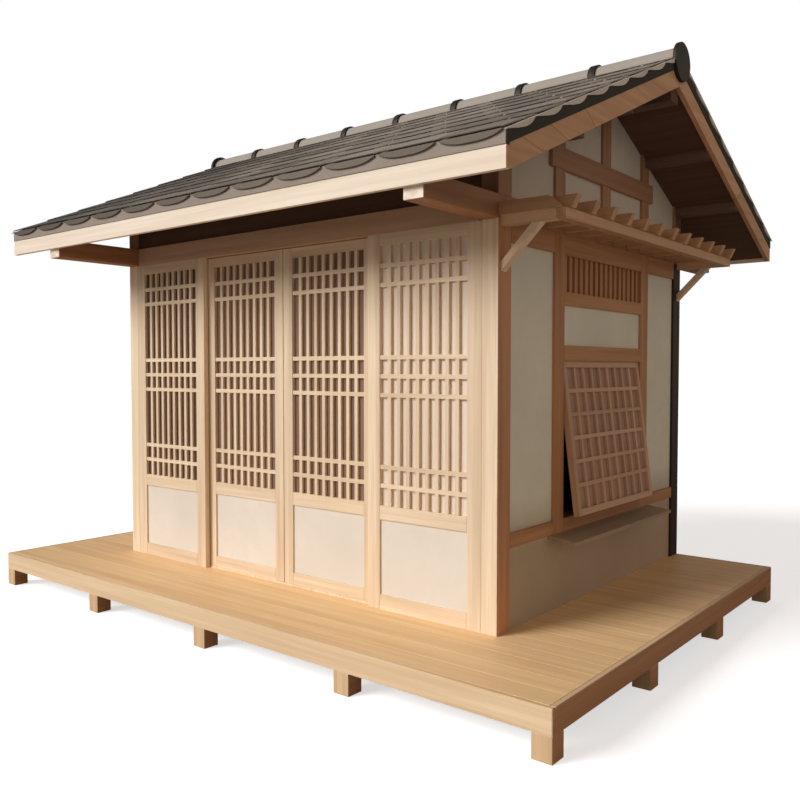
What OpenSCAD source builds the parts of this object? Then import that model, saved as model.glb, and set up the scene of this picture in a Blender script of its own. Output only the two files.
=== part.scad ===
// Small timber cabin on a raised deck, with a gabled shingle roof, two sliding
// lattice doors, a propped lattice window and a slatted awning over the window.
// X runs along the front wall, the front faces -Y, Z is up from the ground.

/* [Cabin] */
// Width of the cabin over its corner posts
cabin_w = 3200; // [2900:50:3800]
// Depth of the cabin over its corner posts
cabin_d = 2460; // [2050:10:3000]
// Height from the deck to the underside of the side beams
wall_h = 2110; // [2000:10:2600]
// Height of the side beams that carry the eaves
side_beam_h = 119; // [90:1:150]
// Width of the side beams
side_beam_w = 115; // [80:1:140]
// Width of a corner post along the front
post_w = 96; // [80:1:120]
// Width of a corner post along the side
post_d = 125; // [90:1:150]
// Thickness of the framed walls
wall_t = 100; // [80:1:120]
// Setback of the plaster behind the wall frame
plaster_inset = 15; // [5:1:25]
// Thickness of the plaster panels
plaster_t = 60; // [40:1:70]

/* [Deck] */
// Height of the deck surface above the ground
deck_top = 230; // [190:5:400]
// Deck beyond the side walls
deck_side = 657; // [500:1:900]
// Deck beyond the front wall
deck_front = 623; // [450:1:900]
// Height of the boards around the deck
rim_h = 117; // [90:1:130]
// Thickness of the boards around the deck
rim_t = 28; // [20:1:40]
// Thickness of the deck boards
deck_t = 28; // [20:1:40]
// Side of a square leg
leg_w = 98; // [70:1:120]
// Width of a deck joist
joist_w = 60; // [40:1:90]
// Number of legs along the front
legs_x = 5; // [3:1:7]
// Number of legs along the side
legs_y = 4; // [3:1:6]
// Open joint between pieces that meet end to end
joint_gap = 0.6; // [0.4:0.1:0.8]
// Clearance between pieces that meet on a slope
bed = 0.3; // [0.2:0.1:0.5]

/* [Front wall] */
// Clear width of the doorway
doorway_w = 1468; // [1200:4:1600]
// Width of a fixed panel's inner stile
stile_w = 90; // [60:1:110]
// Thickness of a door or panel frame
leaf_t = 35; // [28:1:45]
// Height of the bottom rail
foot_rail_h = 85; // [60:1:120]
// Height of the lower infill
infill_h = 425; // [300:5:500]
// Height of the rail over the infill
mid_rail_h = 80; // [60:1:100]
// Height of the top rail
top_rail_h = 65; // [50:1:90]
// Width of a lattice bar
bar_w = 25; // [15:1:30]
// Depth of a lattice bar
bar_t = 18; // [10:1:22]
// Distance between paired cross bars
bar_pair = 105; // [70:1:130]
// Gap between the outer cross bars and the frame
end_gap = 99; // [60:1:120]
// Number of lattice columns
lattice_cols = 9; // [5:1:12]
// Thickness of an infill or backing board
board_t = 8; // [5:1:12]
// How far a door leaf tucks behind the fixed panel
door_lap = 16; // [8:1:30]
// Width of a door's stile
door_stile_w = 80; // [60:1:100]
// Clearance around a sliding door
door_clear = 5; // [5:0.5:8]
// Running clearance between a door and its sill
run_clear = 0.3; // [0.2:0.1:0.6]
// Height of the door sill
sill_h = 12; // [8:1:20]
// Height of the lip behind the top of the doors
lip_h = 20; // [15:1:30]
// Width of the lip behind the top of the doors
lip_t = 20; // [12:1:30]

/* [Window wall] */
// Distance from the front face to the window posts
window_edge = 585; // [450:5:700]
// Width of a window post
window_post_w = 115; // [80:1:130]
// Height of the sill rail's underside
rail_z = 430; // [350:5:550]
// Height of a rail in the side walls
rail_h = 76; // [60:1:100]
// Height of the window opening
window_h = 897; // [750:1:980]
// Height of the header over the window
header_h = 87; // [70:1:110]
// Height of the plaster panel over the window
over_h = 226; // [150:1:260]
// Height of the louver opening
louver_h = 207; // [150:1:240]
// Number of louver slats
louver_n = 16; // [8:1:24]
// Width of a louver slat
louver_w = 34; // [20:1:36]
// Thickness of a louver slat
louver_t = 20; // [12:1:30]

/* [Window] */
// Angle at which the sash is propped open
sash_angle = 7.3; // [3:0.1:25]
// Thickness of the sash
sash_t = 35; // [28:1:45]
// Width of the sash frame
sash_rim = 38; // [30:1:60]
// Gap between the sash and the window posts
sash_gap = 6; // [4:1:10]
// Width of a sash bar
sash_bar = 24; // [15:1:30]
// Number of sash columns
sash_cols = 9; // [5:1:12]
// Number of sash rows
sash_rows = 6; // [3:1:8]
// Depth of the shelf under the window
shelf_d = 160; // [120:1:220]
// Thickness of the shelf
shelf_t = 20; // [15:1:30]
// Fall of the shelf from the wall to its edge
shelf_fall = 18; // [5:1:30]
// Length of the shelf past the window posts
shelf_past = 40; // [10:1:100]

/* [Roof] */
// Slope of the roof in degrees
roof_pitch = 23.75; // [20:0.25:28]
// Eave beyond the front and back walls
eave_over = 642; // [450:1:750]
// Verge beyond the side walls
gable_over = 441; // [420:1:600]
// Height of the roof plane at the eave above the side beams
eave_rise = 34; // [20:1:60]
// Thickness of the fascia boards
fascia_t = 28; // [20:1:35]
// Height of the fascia boards
fascia_h = 97; // [90:1:120]
// Height of the barge boards
barge_h = 109; // [90:1:120]
// Depth of the rafters, measured upright
rafter_h = 72; // [50:1:90]
// Width of a rafter
rafter_w = 50; // [40:1:70]
// Number of rafters on each slope
rafter_n = 9; // [5:1:13]
// Thickness of the soffit boards
soffit_t = 12; // [8:1:20]
// Thickness of the roof boards
roof_board_t = 25; // [15:1:30]
// Number of shingle courses on each slope
course_n = 8; // [5:1:10]
// Thickness of the shingles at the head of a course
shingle_low = 18; // [12:1:24]
// Thickness of the shingles at the butt of a course
shingle_high = 40; // [30:1:50]
// Shingles beyond the fascia
drip = 18; // [5:1:30]
// Width of a purlin
purlin_w = 104; // [80:1:120]
// Distance of the middle purlins from the ridge
purlin_y = 628; // [500:1:750]
// Depth of the middle purlins below the soffit
purlin_h = 10; // [4:1:90]
// Height of the wall plates at their outer face
plate_h = 86; // [70:1:110]
// Depth of a wall plate's outer ends below the soffit
plate_end_h = 14; // [4:1:70]
// Depth of the ridge beam below the soffit
ridge_beam_h = 110; // [80:1:150]
// Radius of the round ridge cap
ridge_r = 85; // [60:1:110]
// Height of the ridge cap's centre above the shingle ridge
ridge_drop = 39; // [20:1:50]
// Radius of the ridge end discs
disc_r = 110; // [100:1:130]
// Thickness of the ridge end discs
disc_t = 22; // [12:1:30]
// Radius of a collar on the ridge cap
collar_r = 97; // [90:1:115]
// Width of a collar on the ridge cap
collar_w = 45; // [25:1:60]
// Number of equal lengths between the ridge collars
collar_bays = 8; // [4:1:10]

/* [Gable] */
// Width of a gable post
gable_post_w = 112; // [80:1:130]
// Height of the gable tie above the side beams
tie_z = 238; // [180:1:260]
// Height of the gable tie
tie_h = 120; // [80:1:140]
// Length of the gable tie past the outer posts
tie_past = 50; // [20:1:60]
// Distance by which the gable tie stands in front of the posts
tie_proud = 8; // [3:1:15]

/* [Awning] */
// Reach of the awning rafters from the wall
awning_reach = 405; // [320:1:430]
// Reach of the awning beam's outer face
awning_beam_reach = 360; // [280:1:375]
// Side of the square awning arms and beam
awning_bar = 52; // [40:1:60]
// Height of the arms above the deck
awning_z = 2070; // [1980:5:2300]
// Height of an awning rafter
awning_rafter_h = 62; // [40:1:80]
// Width of an awning rafter
awning_rafter_w = 45; // [30:1:60]
// Number of awning rafters
awning_rafter_n = 12; // [6:1:16]
// Set back of an awning rafter's lower corner
awning_cut = 30; // [0:1:60]
// Reach of the short outer rafters
awning_end_reach = 348; // [290:1:405]
// Set back of a short rafter's upper corner
awning_end_cut = 73; // [0:1:90]
// Thickness of an awning brace
brace_t = 34; // [25:1:45]
// Drop of an awning brace down the post
brace_drop = 225; // [150:5:350]
// Reach of an awning brace along the arm
brace_reach = 225; // [150:5:300]

/* [Hidden] */
$fn = 96;

// Colours of the materials
pine = "#d9a873";
pale_pine = "#e8c89c";
brown_wood = "#9c6b44";
dark_board = "#4a3526";
cream = "#d8cdb8";
slate = "#5a5650";
near_black = "#26241f";

// Faces of the cabin
wx = cabin_w / 2;
wy = cabin_d / 2;

// Levels above the ground
beam_z = deck_top + wall_h;
beam_top = beam_z + side_beam_h;
slope = tan(roof_pitch);
half_span = wy + eave_over;
eave_z = beam_top + eave_rise;
verge_x = wx + gable_over;
soffit_drop = rafter_h + soffit_t;

// Height of the underside of the roof boards at a distance from the ridge
function plane(y) = eave_z + slope * (half_span - abs(y));

// Height at which posts, plates and beams stop under the soffit boards
function soffit(y) = plane(y) - soffit_drop - bed;
plate_z = soffit(wy) - plate_h;

// Deck outline
deck_x = wx + deck_side;
deck_y0 = -wy - deck_front;
deck_y1 = wy;
rim_z = deck_top - rim_h;
joist_top = deck_top - deck_t;

// Front wall layers, from the front face inwards
door_y = -wy + leaf_t + door_clear;
lip_y = door_y + leaf_t + door_clear;
panel_x0 = wx - post_w;
panel_w = panel_x0 - doorway_w / 2;
panel_h = wall_h - door_clear;
door_w = doorway_w / 2 + door_lap - door_clear / 2;
door_z = deck_top + sill_h + run_clear;
door_top = deck_top + panel_h - door_clear;
door_h = door_top - door_z;
lattice_z0 = foot_rail_h + infill_h + mid_rail_h;
lattice_z1 = panel_h - top_rail_h;
bar_inset = 4;
infill_inset = 10;

// Side wall levels above the deck
rail_top = rail_z + rail_h;
window_top = rail_top + window_h;
header_top = window_top + header_h;
over_top = header_top + over_h;
louver_z = over_top + rail_h;
louver_top = louver_z + louver_h;

// Window posts, along the side wall from the front face
post_a0 = window_edge;
post_a1 = window_edge + window_post_w;
post_b0 = cabin_d - post_a1;
post_b1 = cabin_d - post_a0;

// Roof layers above the roof plane
ridge_y = joint_gap / 2;
cap_z = plane(0) + roof_board_t + shingle_high - ridge_drop;
course_step = (half_span + drip) / course_n;

// Awning levels
awning_top = deck_top + awning_z + awning_bar;

// Solid from one corner to the opposite one
module block(lo, hi) {
    translate(lo) cube(hi - lo);
}

// Extrusion along X of an outline drawn in Y and Z
module along_x(x0, x1) {
    translate([x0, 0, 0]) rotate([90, 0, 90]) linear_extrude(x1 - x0) children();
}

// Extrusion along Y of an outline drawn in X and Z
module along_y(y0, y1) {
    translate([0, y1, 0]) rotate([90, 0, 0]) linear_extrude(y1 - y0) children();
}

// Rectangle from one corner to the opposite one
module rect(lo, hi) {
    translate(lo) square(hi - lo);
}

// Both ends of the cabin
module both_sides() {
    children();
    mirror([1, 0, 0]) children();
}

// Both slopes of the roof
module both_slopes() {
    children();
    mirror([0, 1, 0]) children();
}

// Layer of the back slope between two heights over the roof plane
module slope_layer(y0, y1, low, high) {
    polygon([
        [y0, plane(y0) + low],
        [y1, plane(y1) + low],
        [y1, plane(y1) + high],
        [y0, plane(y0) + high]
    ]);
}

// Deck

module deck_boards() {
    color(pine)
        block([-deck_x + rim_t, deck_y0 + rim_t, joist_top], [deck_x - rim_t, deck_y1 - rim_t, deck_top]);
}

// Long boards along the front and back, with the side boards between them
module deck_rim() {
    y0 = deck_y0 + rim_t;
    y1 = deck_y1 - rim_t;
    color(pale_pine) {
        block([-deck_x, deck_y0, rim_z], [deck_x, y0, deck_top]);
        block([-deck_x, y1, rim_z], [deck_x, deck_y1, deck_top]);
        both_sides() block([deck_x - rim_t, y0 + joint_gap, rim_z], [deck_x, y1 - joint_gap, deck_top]);
    }
}

// Centre of leg i out of n between two edges of the deck
function leg_at(i, n, lo, hi) = lo + leg_w / 2 + i * (hi - lo - leg_w) / (n - 1);

module deck_joists() {
    color(brown_wood) for (i = [0 : legs_x - 1]) {
        x = leg_at(i, legs_x, -deck_x, deck_x);
        lo = max(x - joist_w / 2, -deck_x + rim_t);
        hi = min(x + joist_w / 2, deck_x - rim_t);
        block([lo, deck_y0 + rim_t, rim_z], [hi, deck_y1 - rim_t, joist_top]);
    }
}

module deck_legs() {
    color(brown_wood) for (i = [0 : legs_x - 1], j = [0 : legs_y - 1])
        translate([
            leg_at(i, legs_x, -deck_x, deck_x) - leg_w / 2,
            leg_at(j, legs_y, deck_y0, deck_y1) - leg_w / 2,
            0
        ]) cube([leg_w, leg_w, rim_z]);
}

// Posts and beams

module corner_posts() {
    color(pine) both_sides() {
        block([wx - post_w, -wy, deck_top], [wx, -wy + post_d, beam_z]);
        block([wx - post_w, wy - post_d, deck_top], [wx, wy, beam_z]);
    }
}

module side_beams() {
    end_y = half_span - fascia_t;
    color(brown_wood) both_sides() along_x(wx - side_beam_w, wx) intersection() {
        rect([-end_y, beam_z], [end_y, beam_top]);
        polygon([
            [-half_span, beam_z],
            [half_span, beam_z],
            [half_span, soffit(half_span)],
            [0, soffit(0)],
            [-half_span, soffit(half_span)]
        ]);
    }
}

module front_head_beam() {
    x = wx - side_beam_w;
    z = deck_top + panel_h;
    color(brown_wood) union() {
        block([-x, -wy, z], [x, -wy + wall_t, beam_top]);
        block([-panel_x0, lip_y, z - lip_h], [panel_x0, lip_y + lip_t, z + 1]);
    }
}

module front_upper_board() {
    x = wx - wall_t;
    y = -wy + plaster_inset;
    color(dark_board) block([-x, y, beam_top], [x, y + plaster_t, plate_z]);
}

module wall_plate_outline(depth) {
    polygon([
        [wy - wall_t, soffit(wy) - depth],
        [wy, soffit(wy) - depth],
        [wy, soffit(wy)],
        [wy - wall_t, soffit(wy - wall_t)]
    ]);
}

// The plates are notched to a shallower section outside the gable walls
module wall_plates() {
    x = verge_x - fascia_t;
    color(brown_wood) both_slopes() union() {
        along_x(-wx, wx) wall_plate_outline(plate_h);
        along_x(-x, x) wall_plate_outline(plate_end_h);
    }
}

// Front wall

// Cross bar heights, measured from the middle of the lattice
function bar_heights(h) = let (top = h / 2 - end_gap - bar_w / 2)
    [-top, -top + bar_pair, -bar_pair, 0, bar_pair, top - bar_pair, top];

// Lattice over an opening of width w and height h
module lattice(w, h) {
    for (i = [1 : lattice_cols - 1])
        rect([i * w / lattice_cols - bar_w / 2, -1], [i * w / lattice_cols + bar_w / 2, h + 1]);
    for (z = bar_heights(h))
        rect([-1, h / 2 + z - bar_w / 2], [w + 1, h / 2 + z + bar_w / 2]);
}

// Framed leaf of width w and height h, with a rebate behind for its boards
module leaf(w, h, left, right, lift) {
    x1 = w - right;
    z0 = lattice_z0 - lift;
    z1 = lattice_z1 - lift;
    foot = foot_rail_h - lift;
    union() {
        difference() {
            along_y(0, leaf_t) rect([0, 0], [w, h]);
            along_y(-1, leaf_t + 1) rect([left, foot], [x1, foot + infill_h]);
            along_y(-1, leaf_t + 1) rect([left, z0], [x1, z1]);
        }
        along_y(bar_inset, bar_inset + bar_t) translate([left, z0]) lattice(x1 - left, z1 - z0);
    }
}

// Board that fills a leaf's lower opening
module infill(w, left, right, lift) {
    foot = foot_rail_h - lift;
    along_y(infill_inset, infill_inset + board_t)
        rect([left, foot], [w - right, foot + infill_h]);
}

// Board behind a leaf's lattice
module backing(w, left, right, lift) {
    y0 = bar_inset + bar_t;
    along_y(y0, y0 + board_t)
        rect([left, lattice_z0 - lift], [w - right, lattice_z1 - lift]);
}

module at_left_panel() {
    translate([-panel_x0, -wy, deck_top]) children();
}

module at_right_panel() {
    translate([doorway_w / 2, -wy, deck_top]) children();
}

module left_panel() {
    color(pine) at_left_panel() leaf(panel_w, panel_h, stile_w, stile_w, 0);
}

module right_panel() {
    color(pine) at_right_panel() leaf(panel_w, panel_h, stile_w, stile_w, 0);
}

module panel_infills() {
    color(cream) {
        at_left_panel() infill(panel_w, stile_w, stile_w, 0);
        at_right_panel() infill(panel_w, stile_w, stile_w, 0);
    }
}

module left_panel_backing() {
    color(dark_board) at_left_panel() backing(panel_w, stile_w, stile_w, 0);
}

module right_panel_backing() {
    color(cream) at_right_panel() backing(panel_w, stile_w, stile_w, 0);
}

// The doors stand on the sill behind the panels, and the lift keeps their rails in line
door_lift = sill_h + run_clear;
door_free_stile = door_stile_w - door_clear / 2;

module at_left_door() {
    translate([-doorway_w / 2 - door_lap, door_y, door_z]) children();
}

module at_right_door() {
    translate([door_clear / 2, door_y, door_z]) children();
}

module left_door() {
    color(pine) at_left_door() leaf(door_w, door_h, door_stile_w, door_free_stile, door_lift);
}

module left_door_infill() {
    color(cream) at_left_door() infill(door_w, door_stile_w, door_free_stile, door_lift);
}

module left_door_backing() {
    color(dark_board) at_left_door() backing(door_w, door_stile_w, door_free_stile, door_lift);
}

module right_door() {
    color(pine) at_right_door() leaf(door_w, door_h, door_free_stile, door_stile_w, door_lift);
}

module right_door_infill() {
    color(cream) at_right_door() infill(door_w, door_free_stile, door_stile_w, door_lift);
}

module right_door_backing() {
    color(dark_board) at_right_door() backing(door_w, door_free_stile, door_stile_w, door_lift);
}

module door_sill() {
    color(pine) block([-panel_x0, -wy + leaf_t, deck_top], [panel_x0, -wy + wall_t, deck_top + sill_h]);
}

// Side walls, drawn with the distance from the front face and the height over the deck

// Frame members that both side walls have
module side_frame() {
    rect([post_d, rail_z], [cabin_d - post_d, rail_top]);
    rect([post_d, louver_top], [cabin_d - post_d, wall_h]);
    rect([post_a0, rail_z], [post_a1, wall_h]);
    rect([post_b0, rail_z], [post_b1, wall_h]);
}

// Members around the window
module window_frame() {
    rect([post_a0, window_top], [post_b1, header_top]);
    rect([post_a0, over_top], [post_b1, louver_z]);
}

module window_hole() {
    rect([post_a1, rail_top], [post_b0, window_top]);
}

module louver_hole() {
    rect([post_a1, louver_z], [post_b0, louver_top]);
}

module side_field() {
    rect([post_d, 0], [cabin_d - post_d, wall_h]);
}

// Piece of the right wall, from a distance behind the outer face
module right_layer(inset, t) {
    translate([0, -wy, deck_top]) along_x(wx - inset - t, wx - inset) children();
}

module right_wall_frame() {
    color(brown_wood) right_layer(0, wall_t) {
        side_frame();
        window_frame();
    }
}

module right_wall_plaster() {
    color(cream) right_layer(plaster_inset, plaster_t) difference() {
        side_field();
        side_frame();
        window_frame();
        window_hole();
        louver_hole();
    }
}

module louver_slats() {
    pitch = (post_b0 - post_a1) / louver_n;
    color(brown_wood) right_layer(plaster_inset, louver_t) for (i = [0 : louver_n - 1])
        translate([post_a1 + (i + 0.5) * pitch - louver_w / 2, louver_z]) square([louver_w, louver_h]);
}

module left_wall_frame() {
    color(brown_wood) mirror([1, 0, 0]) right_layer(0, wall_t) side_frame();
}

module left_wall_plaster() {
    color(cream) mirror([1, 0, 0]) right_layer(plaster_inset, plaster_t) difference() {
        side_field();
        side_frame();
    }
}

// Back wall, drawn with X and the height over the deck

module back_frame() {
    x = doorway_w / 2;
    top = plate_z - deck_top;
    rect([-panel_x0, rail_z], [panel_x0, rail_top]);
    rect([-panel_x0, panel_h], [panel_x0, beam_top - deck_top]);
    for (side = [-1, 1])
        translate([side * (x + stile_w / 2) - stile_w / 2, rail_z]) square([stile_w, top - rail_z]);
}

module back_layer(inset, t) {
    translate([0, 0, deck_top]) along_y(wy - inset - t, wy - inset) children();
}

// Back wall outline, between the posts and, higher up, between the side beams
module back_field() {
    x = wx - side_beam_w;
    rect([-panel_x0, 0], [panel_x0, panel_h]);
    rect([-x, panel_h - 1], [x, plate_z - deck_top]);
    rect([-wx + wall_t, beam_top - deck_top], [wx - wall_t, plate_z - deck_top]);
}

module back_wall_frame() {
    color(brown_wood) back_layer(0, wall_t) intersection() {
        back_frame();
        back_field();
    }
}

module back_wall_plaster() {
    color(cream) back_layer(plaster_inset, plaster_t) difference() {
        back_field();
        back_frame();
    }
}

// Window

// Sash, which fits the window opening when it is shut
sash_w = post_b0 - post_a1 - 2 * sash_gap;
sash_h = window_h - 2 * sash_gap;

// Places a piece in the propped sash: Y along the wall, Z up to the hinge line
module at_sash() {
    translate([wx - plaster_inset, post_a1 + sash_gap - wy, deck_top + window_top - run_clear])
        rotate([0, -sash_angle, 0]) children();
}

module sash_opening() {
    rect([sash_rim, -sash_h + sash_rim], [sash_w - sash_rim, -sash_rim]);
}

module window_sash() {
    x0 = -sash_t;
    w = sash_w - 2 * sash_rim;
    h = sash_h - 2 * sash_rim;
    color(brown_wood) at_sash() union() {
        along_x(x0, 0) difference() {
            rect([0, -sash_h], [sash_w, 0]);
            sash_opening();
        }
        along_x(-bar_inset - bar_t, -bar_inset) translate([sash_rim, -sash_h + sash_rim]) {
            for (i = [1 : sash_cols - 1])
                rect([i * w / sash_cols - sash_bar / 2, -1], [i * w / sash_cols + sash_bar / 2, h + 1]);
            for (i = [1 : sash_rows - 1])
                rect([-1, i * h / sash_rows - sash_bar / 2], [w + 1, i * h / sash_rows + sash_bar / 2]);
        }
    }
}

module window_paper() {
    x1 = -bar_inset - bar_t;
    color("#c9ab98") at_sash() along_x(x1 - board_t, x1) sash_opening();
}

module window_shelf() {
    z = deck_top + rail_z - run_clear;
    color(pale_pine) along_y(post_a0 - shelf_past - wy, post_b1 + shelf_past - wy) polygon([
        [wx - plaster_inset, z - shelf_t],
        [wx, z - shelf_t],
        [wx + shelf_d, z - shelf_t - shelf_fall],
        [wx + shelf_d, z - shelf_fall],
        [wx, z],
        [wx - plaster_inset, z]
    ]);
}

// Gables, drawn in Y and Z

// Area of a gable over the side beam, under the wall plates and the soffit
module gable_field() {
    y = wy - wall_t;
    polygon([
        [-wy, beam_top],
        [wy, beam_top],
        [wy, plate_z],
        [y, plate_z],
        [y, soffit(y)],
        [0, soffit(0)],
        [-y, soffit(y)],
        [-y, plate_z],
        [-wy, plate_z]
    ]);
}

module gable_posts() {
    y = wy - post_a0 - window_post_w / 2;
    for (mid = [-y, 0, y])
        rect([mid - gable_post_w / 2, beam_top], [mid + gable_post_w / 2, soffit(0)]);
    rect([-wy, beam_top], [-wy + post_d, soffit(0)]);
    rect([wy - post_d, beam_top], [wy, soffit(0)]);
}

module gable_tie() {
    y = wy - post_a0 + tie_past;
    rect([-y, beam_top + tie_z], [y, beam_top + tie_z + tie_h]);
}

// Room taken by the members that pass through a gable
module gable_cuts() {
    rect([-purlin_y - purlin_w / 2, purlin_floor()], [-purlin_y + purlin_w / 2, soffit(0)]);
    rect([purlin_y - purlin_w / 2, purlin_floor()], [purlin_y + purlin_w / 2, soffit(0)]);
    rect([-purlin_w / 2, soffit(0) - ridge_beam_h], [purlin_w / 2, soffit(0)]);
}

module gable_frames() {
    color(brown_wood) both_sides() difference() {
        union() {
            along_x(wx - wall_t, wx) intersection() {
                gable_field();
                gable_posts();
            }
            along_x(wx - wall_t, wx + tie_proud) gable_tie();
        }
        along_x(wx - wall_t - 1, wx + tie_proud + 1) gable_cuts();
    }
}

module gable_plaster() {
    color(cream) both_sides() along_x(wx - plaster_inset - plaster_t, wx - plaster_inset) difference() {
        gable_field();
        gable_posts();
        gable_tie();
        gable_cuts();
    }
}

// Roof

function purlin_floor() = soffit(purlin_y + purlin_w / 2) - purlin_h;

module purlins() {
    x = verge_x - fascia_t;
    z = soffit(0) - ridge_beam_h;
    color(brown_wood) along_x(-x, x) {
        both_slope_outline() polygon([
            [purlin_y - purlin_w / 2, purlin_floor()],
            [purlin_y + purlin_w / 2, purlin_floor()],
            [purlin_y + purlin_w / 2, soffit(purlin_y + purlin_w / 2)],
            [purlin_y - purlin_w / 2, soffit(purlin_y - purlin_w / 2)]
        ]);
        polygon([
            [-purlin_w / 2, z],
            [purlin_w / 2, z],
            [purlin_w / 2, soffit(purlin_w / 2)],
            [0, soffit(0)],
            [-purlin_w / 2, soffit(purlin_w / 2)]
        ]);
    }
}

// Both slopes of an outline
module both_slope_outline() {
    children();
    mirror([1, 0]) children();
}

module rafters() {
    x = verge_x - fascia_t;
    pitch = (2 * x - rafter_w) / (rafter_n - 1);
    color(pine) for (i = [0 : rafter_n - 1])
        along_x(-x + i * pitch, -x + i * pitch + rafter_w) both_slope_outline()
            slope_layer(ridge_y, half_span - fascia_t, -rafter_h, 0);
}

module soffit_boards() {
    x = verge_x - fascia_t;
    color(dark_board) along_x(-x, x) both_slope_outline()
        slope_layer(ridge_y, half_span - fascia_t, -soffit_drop, -rafter_h);
}

module roof_boards() {
    color(dark_board) along_x(-verge_x, verge_x) both_slope_outline()
        slope_layer(ridge_y, half_span, 0, roof_board_t);
}

// Height of the shingle surface when it is t thick
function shingle_top(y, t) = plane(y) + roof_board_t + t;

// Stepped outline of the shingle courses on the back slope, under the flat ridge course
module shingle_outline() {
    polygon([
        [ridge_y, shingle_top(ridge_y, 0)],
        [half_span + drip, shingle_top(half_span + drip, 0)],
        for (i = [course_n : -1 : 2]) each [
            [i * course_step, shingle_top(i * course_step, shingle_high)],
            [(i - 1) * course_step, shingle_top((i - 1) * course_step, shingle_low)]
        ],
        [course_step, shingle_top(course_step, shingle_high)],
        [ridge_y, shingle_top(ridge_y, shingle_high)]
    ]);
}

module shingles() {
    color(slate) along_x(-verge_x, verge_x) both_slope_outline() shingle_outline();
}

module fascia_boards() {
    color(pale_pine) both_slopes()
        block([-verge_x, half_span - fascia_t, eave_z - fascia_h], [verge_x, half_span, eave_z]);
}

module barge_boards() {
    color(pine) both_sides() along_x(verge_x - fascia_t, verge_x) both_slope_outline()
        slope_layer(ridge_y, half_span - fascia_t, -barge_h, 0);
}

// Outline of the roof under the ridge cap
module under_cap() {
    t = shingle_high + bed;
    polygon([
        [-half_span, shingle_top(half_span, t)],
        [0, shingle_top(0, t)],
        [half_span, shingle_top(half_span, t)]
    ]);
}

// Round length of ridge from x0 to x1, cut to the roof
module ridge_length(r, x0, x1) {
    difference() {
        translate([x0, 0, cap_z]) rotate([0, 90, 0]) cylinder(h = x1 - x0, r = r);
        along_x(x0 - 1, x1 + 1) under_cap();
    }
}

module ridge_cap() {
    color(slate) ridge_length(ridge_r, -verge_x, verge_x);
}

module ridge_collars() {
    bay = 2 * verge_x / collar_bays;
    color(near_black) {
        for (i = [1 : collar_bays - 1]) difference() {
            ridge_length(collar_r, -verge_x + i * bay - collar_w / 2, -verge_x + i * bay + collar_w / 2);
            translate([-verge_x, 0, cap_z]) rotate([0, 90, 0]) cylinder(h = 2 * verge_x, r = ridge_r + bed);
        }
        both_sides() translate([verge_x, 0, cap_z]) rotate([0, 90, 0]) cylinder(h = disc_t, r = disc_r);
    }
}

// Awning

awning_end_y = wy - post_w / 2;

// Arm and, under it, the brace at one end of the awning, drawn in X and Z
module bracket_outline() {
    z = deck_top + awning_z;
    cut = brace_t * sqrt(2);
    rect([wx, z], [wx + awning_beam_reach - awning_bar, z + awning_bar]);
    polygon([
        [wx, z - bed - brace_drop],
        [wx + brace_reach, z - bed],
        [wx + brace_reach - cut, z - bed],
        [wx, z - bed - brace_drop + cut]
    ]);
}

module awning_brackets() {
    color(pine) both_slopes()
        along_y(awning_end_y - awning_bar / 2, awning_end_y + awning_bar / 2) bracket_outline();
}

module awning_beam() {
    x1 = wx + awning_beam_reach;
    y = awning_end_y + awning_bar / 2;
    z = deck_top + awning_z;
    color(pine) block([x1 - awning_bar, -y, z], [x1, y, z + awning_bar]);
}

module awning_rafters() {
    y = awning_end_y - awning_bar / 2;
    pitch = 2 * y / (awning_rafter_n - 1);
    color(brown_wood) for (i = [0 : awning_rafter_n - 1])
        along_y(-y + i * pitch - awning_rafter_w / 2, -y + i * pitch + awning_rafter_w / 2) polygon([
            [wx, awning_top],
            [wx + awning_reach - awning_cut, awning_top],
            [wx + awning_reach, awning_top + awning_rafter_h],
            [wx, awning_top + awning_rafter_h]
        ]);
    color(brown_wood) both_slopes() along_y(wy - awning_rafter_w, wy) polygon([
        [wx, awning_top],
        [wx + awning_end_reach, awning_top],
        [wx + awning_end_reach - awning_end_cut, awning_top + awning_rafter_h],
        [wx, awning_top + awning_rafter_h]
    ]);
}

deck_boards();
deck_rim();
deck_joists();
deck_legs();
corner_posts();
left_panel();
right_panel();
panel_infills();
left_panel_backing();
right_panel_backing();
left_door();
left_door_infill();
left_door_backing();
right_door();
right_door_infill();
right_door_backing();
door_sill();
front_head_beam();
front_upper_board();
side_beams();
wall_plates();
right_wall_frame();
right_wall_plaster();
louver_slats();
window_sash();
window_paper();
window_shelf();
left_wall_frame();
left_wall_plaster();
back_wall_frame();
back_wall_plaster();
gable_frames();
gable_plaster();
purlins();
rafters();
soffit_boards();
roof_boards();
shingles();
fascia_boards();
barge_boards();
ridge_cap();
ridge_collars();
awning_brackets();
awning_beam();
awning_rafters();
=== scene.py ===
import math
import random

import bmesh
import bpy
from mathutils import Matrix, Vector


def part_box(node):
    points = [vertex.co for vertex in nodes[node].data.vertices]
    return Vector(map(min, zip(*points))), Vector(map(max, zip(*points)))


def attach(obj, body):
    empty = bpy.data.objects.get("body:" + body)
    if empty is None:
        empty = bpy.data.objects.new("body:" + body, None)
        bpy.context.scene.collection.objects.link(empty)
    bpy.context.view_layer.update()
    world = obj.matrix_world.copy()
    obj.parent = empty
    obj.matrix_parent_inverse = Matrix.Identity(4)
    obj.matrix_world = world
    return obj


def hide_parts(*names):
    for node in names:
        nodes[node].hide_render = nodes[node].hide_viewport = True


# Timber cabin. Lengths are in metres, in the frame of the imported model: X runs along the
# front wall, the front faces -Y, and Z is up from the ground. Boards, bars and shingles are
# modelled one by one over the plain solids, each with its own run of grain.

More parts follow.
